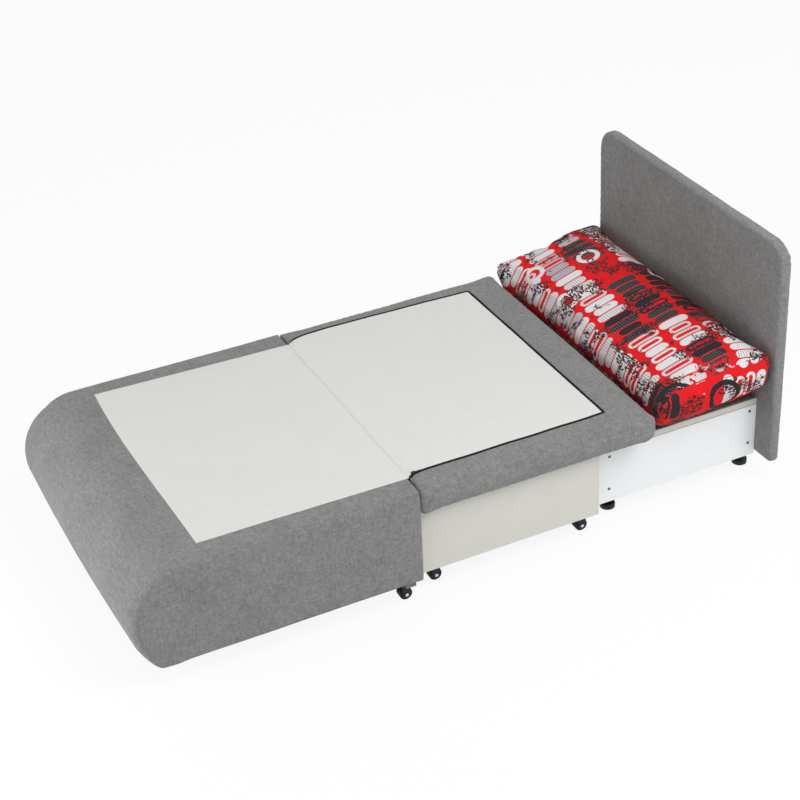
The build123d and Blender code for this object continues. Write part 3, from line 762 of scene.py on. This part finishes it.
# the zip keeps the uneven line of a cover pulled on by hand; distances are from the joint
zipLook = {
    "tape": 0.0084, "height": 0.0032, "corner": 0.007, "thickStart": 1.7, "thickLength": 0.045,
    "toothPitch": 0.0034, "toothSize": (0.0012, 0.0030, 0.0009), "toothStep": 0.0008, "toothSunk": 0.0002,
    "start": 0.003, "lift": 0.0004, "wander": (0.0006, 0.0005),
    "farEdge": (
        (0.0, 0.374), (0.012, 0.382), (0.03, 0.390), (0.058, 0.397),
        (0.14, 0.3975), (0.292, 0.394), (0.45, 0.387), (0.576, 0.382),
    ),
    "nearEdge": (
        (0.0, 0.384), (0.012, 0.378), (0.028, 0.3735), (0.05, 0.372),
        (0.14, 0.3735), (0.263, 0.374), (0.45, 0.3735), (0.576, 0.373),
    ),
}


def padEdge(side, y):
    line = np.array(zipLook["nearEdge" if side > 0 else "farEdge"])
    return side * np.interp(y - jointY, line[:, 0], line[:, 1])


palePanel("padPanel", "seat_pad", "pad_lining", padEdge, jointY + jointGap, padPanelFar, 0.0, surface)


def zipPath():
    near, far, corner = jointY + zipLook["start"], padPanelFar + zipLook["tape"] / 2, zipLook["corner"]
    line = [(padEdge(1, y), y) for y in np.linspace(near, far - corner, 46)]
    for side in (1, -1):
        edge = padEdge(side, far)
        bends = [(corner * (1 - math.cos(a)), corner * (1 - math.sin(a))) for a in np.linspace(0.2, 1.4, 4)]
        turn = [(edge - side * x, far - y) for x, y in bends]
        line += turn if side > 0 else turn[::-1]
        if side > 0:
            line += [(x, far) for x in np.linspace(edge - 0.03, padEdge(-1, far) + 0.03, 26)]
    line += [(padEdge(-1, y), y) for y in np.linspace(far - corner, near, 46)]
    placed = []
    for x, y in line:
        x, y = x + zipLook["wander"][0] * math.sin(41 * y), y + zipLook["wander"][1] * math.sin(37 * x)
        spot, _, _, _ = surface.ray_cast(Vector((x, y, frontTop + overTop)), down)
        placed.append((x, y, (spot.z if spot else padHigh.z) + zipLook["lift"]))
    return placed


zipLine = zipPath()
along = pathLength(np.array(zipLine))
bunched = np.clip(1 - along / zipLook["thickLength"], 0, 1) ** 0.6 * (1 + 0.25 * np.sin(along * 700))
bm = tube(zipLine, zipLook["tape"] / 2, 12, 1 + (zipLook["thickStart"] - 1) * bunched)
for vertex in bm.verts:
    spot, _, _, _ = surface.ray_cast(Vector((vertex.co.x, vertex.co.y, frontTop + overTop)), down)
    base = spot.z if spot else padHigh.z
    vertex.co.z = base + (vertex.co.z - base) * zipLook["height"] / zipLook["tape"]
dense = alongPath(zipLine, int(pathLength(np.array(zipLine))[-1] / zipLook["toothPitch"]))
for index in range(len(dense) - 1):
    here, ahead = Vector(dense[index]), Vector(dense[index + 1])
    turn = (ahead - here).to_track_quat("X", "Z").to_matrix().to_4x4()
    side = zipLook["toothStep"] if index % 2 else -zipLook["toothStep"]
    crown = here + Vector((0, 0, zipLook["height"] / 2 - zipLook["toothSunk"]))
    place = Matrix.Translation(crown) @ turn @ Matrix.Translation((0, side, 0))
    made = bmesh.ops.create_cube(bm, size=1.0)["verts"]
    bmesh.ops.scale(bm, verts=made, vec=zipLook["toothSize"])
    bmesh.ops.transform(bm, verts=made, matrix=place)
pieceFrom("padZip", bm, "seat_pad", finishes["zipTape"], ("pad_zip",))
print("zip sewn in:", len(dense), "teeth")

# the zip's pull lies on the tape, where the zip begins
pullLook = {
    "slider": (0.0075, 0.010, 0.0036), "sliderPlace": (0, -0.006, 0),
    "tab": (0.0052, 0.017, 0.0012), "tabPlace": (0.0012, 0.006, 0.0012), "lift": 0.0009, "edge": 0.0005,
}
low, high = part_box("zip_pull")
middle = (low + high) / 2
middle.x = padEdge(1, middle.y)
spot, _, _, _ = surface.ray_cast(Vector((middle.x, middle.y, frontTop + overTop)), down)
bm = bmesh.new()
for part in ("slider", "tab"):
    made = bmesh.ops.create_cube(bm, size=1.0)["verts"]
    bmesh.ops.scale(bm, verts=made, vec=pullLook[part])
    bmesh.ops.translate(bm, verts=made, vec=pullLook[part + "Place"])
edges = list(bm.edges)
bmesh.ops.bevel(bm, geom=edges, offset=pullLook["edge"], segments=2, profile=0.5, affect="EDGES", material=-1)
middle.z = spot.z + zipLook["height"] / 2 + pullLook["lift"]
bmesh.ops.translate(bm, verts=bm.verts, vec=middle)
pieceFrom("zipPull", bm, "seat_pad", finishes["blackMetal"], ("zip_pull",))


# the sewn joint: a strip of cloth let down between the two sections, attached to no body

jointLook = {"width": 0.748, "reach": 0.0022, "depth": 0.001, "dip": 0.0035, "thickness": 0.0008}
bm = bmesh.new()
bmesh.ops.create_grid(bm, x_segments=60, y_segments=6, size=0.5)
bmesh.ops.scale(bm, verts=bm.verts, vec=(jointLook["width"], 2 * jointLook["reach"], 1))
bmesh.ops.translate(bm, verts=bm.verts, vec=(0, jointY, 0))
for vertex in bm.verts:
    share = abs(vertex.co.y - jointY) / jointLook["reach"]
    vertex.co.z = frontTop - jointLook["depth"] - jointLook["dip"] * (1 - share ** 2)
hingeStrip = pieceFrom("hingeStrip", bm, None, creamCloth, ("hinge_seam",))
step = hingeStrip.modifiers.new("thickness", "SOLIDIFY")
step.thickness = jointLook["thickness"]
step.offset = -1
applyModifiers(hingeStrip)
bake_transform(hingeStrip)
print("joint strip sewn")


# headboard

headLook = {
    "voxel": 0.005, "swell": 0.0012, "waves": 0.0009, "smallWaves": 0.0004,
    "waveScale": (8, 8, 8), "smallScale": (30, 30, 30), "seeds": (3.0, 9.0),
    "seamInset": 0.0035, "seamWidth": 0.004, "seamDepth": 0.0011, "pucker": 0.0007, "puckerPitch": 0.022,
    "seamCorner": 0.062, "seamFromFace": 0.004, "flatDepth": 0.003, "flatHeight": 0.26,
    "foldPlace": (0.443, 0.002, 0.0295), "foldWay": (0.85, 0.0, 0.5), "foldReach": 0.0055, "foldSize": 0.008,
}
low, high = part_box("headboard_cover")
headLow, headHigh = low.copy(), high.copy()
headCover = pieceFrom(
    "headCover", copyOf(("headboard_cover", "headboard_foam", "headboard_board", "headboard_bolts")),
    "rear_unit", greyCloth, ("headboard_cover", "headboard_foam"),
)
remesh(headCover, headLook["voxel"], 2)
fit(headCover, ("headboard_cover",), headLook["swell"], headLook["swell"])
points, normals = pointsOf(headCover), normalsOf(headCover)
points = points + normals * uneven(points, headLook)[:, None]
for side, share in ((1, 1.0), (-1, 0.4)):
    # a small fold where the cloth is drawn round the top corner, plainer on the far side
    x, y, z = headLook["foldPlace"]
    fold = np.array((side * x, headHigh.y - y, headHigh.z - z))
    lump = np.exp(-(np.linalg.norm(points - fold, axis=1) / headLook["foldSize"]) ** 2)
    x, y, z = headLook["foldWay"]
    points += lump[:, None] * headLook["foldReach"] * share * np.array((side * x, y, z))
frontFace = (points[:, 1] < headLow.y + headLook["flatDepth"]) & (points[:, 2] < headLook["flatHeight"])
points[:, 1] = np.where(frontFace, np.maximum(points[:, 1], headLow.y), points[:, 1])
movePoints(headCover, points)


def headSeam(y):
    inset, corner = headLook["seamInset"], headLook["seamCorner"]
    half, low, high = headHigh.x - inset, headLow.z + inset, headHigh.z - inset
    path = [(half, y, z) for z in np.linspace(low, high - corner, 12)]
    for step in range(1, 8):
        angle = math.radians(11.25 * step)
        path.append((half - corner + corner * math.cos(angle), y, high - corner + corner * math.sin(angle)))
    path += [(x, y, high) for x in np.linspace(half - corner, 0, 10)]
    return path + [(-x, y, z) for x, y, z in reversed(path[:-1])]


surface = surfaceOf(headCover)
seamPlaces = (headLow.y + headLook["seamFromFace"], headHigh.y - headLook["seamFromFace"])
headSeams = [settle(headSeam(y), surface) for y in seamPlaces]
groove(
    headCover, headSeams, headLook["seamWidth"], headLook["seamDepth"],
    headLook["pucker"], headLook["puckerPitch"],
)
print("headboard:", len(headCover.data.polygons), "faces")


# thin dark lining over the rear board

liningLook = {"thickness": 0.0006, "waves": 0.0003, "waveScale": (18, 14, 1)}
low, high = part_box("rear_top_lining")
bm = bmesh.new()
bmesh.ops.create_grid(bm, x_segments=74, y_segments=57, size=0.5)
bmesh.ops.scale(bm, verts=bm.verts, vec=(high.x - low.x, high.y - low.y, 1))
bmesh.ops.translate(bm, verts=bm.verts, vec=(0, (low.y + high.y) / 2, high.z - liningLook["waves"]))
rearLining = pieceFrom("rearLining", bm, "rear_unit", darkLining, ("rear_top_lining",))
points = pointsOf(rearLining)
points[:, 2] += liningLook["waves"] * ripple(points, liningLook["waveScale"], 1.0)
movePoints(rearLining, points)
step = rearLining.modifiers.new("thickness", "SOLIDIFY")
step.thickness = liningLook["thickness"]
step.offset = -1
applyModifiers(rearLining)


# the joint between the top board and the sides: the thin dark strip there is painted shade, standing for the
# shadow in the narrow gap

jointShadowStrip = {"height": 0.0014, "proud": 0.0003}
low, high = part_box("rear_top_board")
bm = bmesh.new()
for side in (-1, 1):
    made = bmesh.ops.create_cube(bm, size=1.0)["verts"]
    bmesh.ops.scale(bm, verts=made, vec=(2 * jointShadowStrip["proud"], high.y - low.y, jointShadowStrip["height"]))
    bmesh.ops.translate(bm, verts=made, vec=(side * high.x, (low.y + high.y) / 2, low.z))
pieceFrom("boardJointShadow", bm, "rear_unit", finishes["hardboard"])


# pillow

pillowLook = {
    "voxel": 0.007, "waves": 0.0032, "smallWaves": 0.0007,
    "waveScale": (6, 9, 9), "smallScale": (20, 26, 26), "seeds": (4.0, 6.0),
    "endSeam": 0.03, "seamWidth": 0.005, "seamDepth": 0.0018, "pucker": 0.0009, "puckerPitch": 0.05,
    "sideShift": -0.010, "press": 0.006, "pressDepth": 0.16, "taperFrom": 0.20, "taperLength": 0.19,
    "farDrop": 0.017, "nearDrop": 0.0035, "farDraw": 0.004, "nearDraw": 0.005, "underLift": (0.0, 0.024),
    "pressHeight": 0.05, "frontRoom": 0.010, "backRoom": 0.0005, "coreShift": 0.01,
    "capFrom": 0.33, "capLength": 0.05, "capStretch": 0.6, "capFacing": 0.72,
    "air": {"pressure": 3.0, "stiffness": 12.0, "bending": 1.0, "shrink": -0.04, "frames": 22, "cap": 0.014},
}
low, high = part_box("pillow")
pillowLow, pillowHigh = low.copy(), high.copy()
pillow = pieceFrom("pillowCover", copyOf(("pillow",)), "pillow", redCotton, ("pillow",))
remesh(pillow, pillowLook["voxel"], 3)
puff(pillow, pillowLook["air"])
points, normals = pointsOf(pillow), normalsOf(pillow)
points = points + normals * uneven(points, pillowLook)[:, None]
# the ends are slimmer than the middle: the near one is raised off the board, the far one is lower on top
taper = np.clip((np.abs(points[:, 0]) - pillowLook["taperFrom"]) / pillowLook["taperLength"], 0, 1) ** 2
height = np.clip((points[:, 2] - pillowLow.z) / (pillowHigh.z - pillowLow.z), 0, 1)
toBack = np.clip((points[:, 1] - pillowLow.y) / (pillowHigh.y - pillowLow.y), 0, 1)
atFar = points[:, 0] < 0
underLift = np.interp(toBack, (0, 1), pillowLook["underLift"]) * np.where(atFar, 0.5, 1)
topDrop = np.where(atFar, pillowLook["farDrop"] * (1 - toBack), pillowLook["nearDrop"])
points[:, 2] += taper * (underLift * (1 - height) - topDrop * height)
drawn = np.where(atFar, pillowLook["farDraw"] * (1 - toBack), -pillowLook["nearDraw"] * toBack)
points[:, 1] += taper * drawn
nearness = np.clip(1 - (points[:, 1] - pillowLow.y) / pillowLook["pressDepth"], 0, 1)
risen = np.clip((points[:, 2] - pillowLow.z) / pillowLook["pressHeight"], 0, 1)
points[:, 1] -= pillowLook["press"] * nearness * risen
points[:, 0] += pillowLook["sideShift"]


def restPillow(points):
    # it stays on the board, clear of the headboard, and overhangs the pad's edge a little
    front, back = pillowLow.y - pillowLook["frontRoom"], pillowHigh.y - pillowLook["backRoom"]
    points[:, 1] = np.clip(points[:, 1], front, back)
    points[:, 2] = np.maximum(points[:, 2], pillowLow.z)
    movePoints(pillow, points)


restPillow(points)
centre = (pillowLow + pillowHigh) / 2
coreY, coreZ = centre.y + pillowLook["coreShift"], centre.z - pillowLook["coreShift"]


def ringAt(surface, x, count=40):
    # where the pillow's skin is at one place along it, found by looking outwards from its middle
    path = []
    for step in range(count):
        angle = 2 * math.pi * step / count
        way = Vector((0, math.cos(angle), math.sin(angle)))
        spot, _, _, _ = surface.ray_cast(Vector((x, coreY, coreZ)), way)
        if spot is not None:
            path.append(tuple(spot))
    return path + path[:1]


surface = surfaceOf(pillow)
seamX = pillowHigh.x - pillowLook["endSeam"]
pillowSeams = [ringAt(surface, side * seamX + pillowLook["sideShift"]) for side in (-1, 1)]
groove(
    pillow, pillowSeams, pillowLook["seamWidth"], pillowLook["seamDepth"],
    pillowLook["pucker"], pillowLook["puckerPitch"],
)
restPillow(pointsOf(pillow))


def unroll(piece):
    # u runs along the pillow and v round it; the end caps unroll past the ends
    points = pointsOf(piece)
    surface = surfaceOf(piece)
    ring = np.array(ringAt(surface, 0.0, 120))
    angles = np.arctan2(ring[:-1, 2] - coreZ, ring[:-1, 1] - coreY) % (2 * math.pi)
    order = np.argsort(angles)
    angles, ring = angles[order], ring[:-1][order]
    radii = np.hypot(ring[:, 1] - coreY, ring[:, 2] - coreZ)
    closed = np.vstack([ring, ring[:1]])
    length = pathLength(closed)
    wrapped = np.append(angles, angles[0] + 2 * math.pi)
    spot = np.arctan2(points[:, 2] - coreZ, points[:, 1] - coreY) % (2 * math.pi)
    spot = np.where(spot < angles[0], spot + 2 * math.pi, spot)
    around = np.interp(spot, wrapped, length)
    full = np.interp(spot, wrapped, np.append(radii, radii[0]))
    radius = np.hypot(points[:, 1] - coreY, points[:, 2] - coreZ)
    onCap = np.clip((np.abs(points[:, 0]) - pillowLook["capFrom"]) / pillowLook["capLength"], 0, 1)
    past = np.maximum(0, full - radius) * onCap * pillowLook["capStretch"]
    u = points[:, 0] + np.sign(points[:, 0]) * past
    layer = piece.data.uv_layers.new(name="cloth")
    total = length[-1]
    for face in piece.data.polygons:
        if abs(face.normal.x) > pillowLook["capFacing"]:
            for corner, vertex in zip(face.loop_indices, face.vertices):
                layer.data[corner].uv = (3.0 + points[vertex, 1], points[vertex, 2])
            continue
        first = around[face.vertices[0]]
        for corner, vertex in zip(face.loop_indices, face.vertices):
            v = around[vertex]
            if v - first > total / 2:
                v -= total
            elif first - v > total / 2:
                v += total
            layer.data[corner].uv = (u[vertex] + 1.0, v + 1.0)


unroll(pillow)
print("pillow:", len(pillow.data.polygons), "faces")


# floor, light and camera

studio = {
    "floorColour": (0.93, 0.93, 0.93), "floorGlow": 0.9, "ambient": 0.53,
    "keyPower": 122.0, "keyPlace": (2.5, 1.3, 3.9), "keySize": 2.6, "keyTarget": (0, 0, 0.2),
    "lowPower": 14.0, "lowPlace": (0.1, -2.2, 0.5), "lowSize": 0.9, "lowTarget": (0, -0.7, 0.15),
    "floorHalf": 14.0,
}
bm = bmesh.new()
bmesh.ops.create_grid(bm, x_segments=2, y_segments=2, size=studio["floorHalf"])
floorMesh = bpy.data.meshes.new("floor")
bm.to_mesh(floorMesh)
bm.free()
floor = bpy.data.objects.new("floor", floorMesh)
scene.collection.objects.link(floor)
floorPaint = bpy.data.materials.new("floorPaint")
floorPaint.use_nodes = True
tree = floorPaint.node_tree
paint = tree.nodes["Principled BSDF"]
paint.inputs["Base Color"].default_value = (*studio["floorColour"], 1)
paint.inputs["Roughness"].default_value = 0.9
paint.inputs["Specular IOR Level"].default_value = 0.0
seen = addNode(tree, "ShaderNodeLightPath")
glow = addNode(tree, "ShaderNodeEmission", {"Color": (1, 1, 1, 1), "Strength": 1.0}).outputs[0]
share = calc(tree, "MAXIMUM", seen.outputs["Is Camera Ray"], seen.outputs["Is Glossy Ray"])
share = calc(tree, "MULTIPLY", share, studio["floorGlow"])
mixed = addNode(tree, "ShaderNodeMixShader", {0: share, 1: paint.outputs[0], 2: glow}).outputs[0]
tree.links.new(mixed, tree.nodes["Material Output"].inputs["Surface"])
floor.data.materials.append(floorPaint)

world = bpy.data.worlds.new("studio")
scene.world = world
world.use_nodes = True
tree = world.node_tree
back = tree.nodes["Background"]
seen = addNode(tree, "ShaderNodeLightPath")
share = calc(tree, "MAXIMUM", seen.outputs["Is Camera Ray"], seen.outputs["Is Glossy Ray"])
share = calc(tree, "MAXIMUM", share, seen.outputs["Is Transmission Ray"])
tree.links.new(spread(tree, share, 0, 1, studio["ambient"], 1.0), back.inputs["Strength"])
back.inputs["Color"].default_value = (1, 1, 1, 1)


def addLamp(name, place, power, size, target):
    lamp = bpy.data.lights.new(name, "AREA")
    lamp.energy = power
    lamp.size = size
    holder = bpy.data.objects.new(name, lamp)
    scene.collection.objects.link(holder)
    holder.location = place
    holder.rotation_euler = (Vector(target) - Vector(place)).to_track_quat("-Z", "Y").to_euler()


for name in ("key", "low"):
    addLamp(name, *(studio[name + word] for word in ("Place", "Power", "Size", "Target")))
scene.view_settings.view_transform = "Standard"

view = {
    "place": (3.9315, -1.7767, 3.0277), "azimuth": 65.59, "elevation": 32.16, "roll": -3.15,
    "lens": 85.59, "sensor": 36.0,
}
azimuth, elevation, roll = (math.radians(view[key]) for key in ("azimuth", "elevation", "roll"))
level = math.cos(elevation)
backward = Vector((math.sin(azimuth) * level, -math.cos(azimuth) * level, math.sin(elevation)))
right = Vector((math.cos(azimuth), math.sin(azimuth), 0))
upward = backward.cross(right)
turnedRight = right * math.cos(roll) + upward * math.sin(roll)
turnedUp = upward * math.cos(roll) - right * math.sin(roll)
camera = bpy.data.objects.new("camera", bpy.data.cameras.new("camera"))
camera.data.lens = view["lens"]
camera.data.sensor_width = view["sensor"]
turned = Matrix((turnedRight, turnedUp, backward)).transposed().to_4x4()
camera.matrix_world = Matrix.Translation(view["place"]) @ turned
scene.collection.objects.link(camera)
scene.camera = camera
print("studio set")
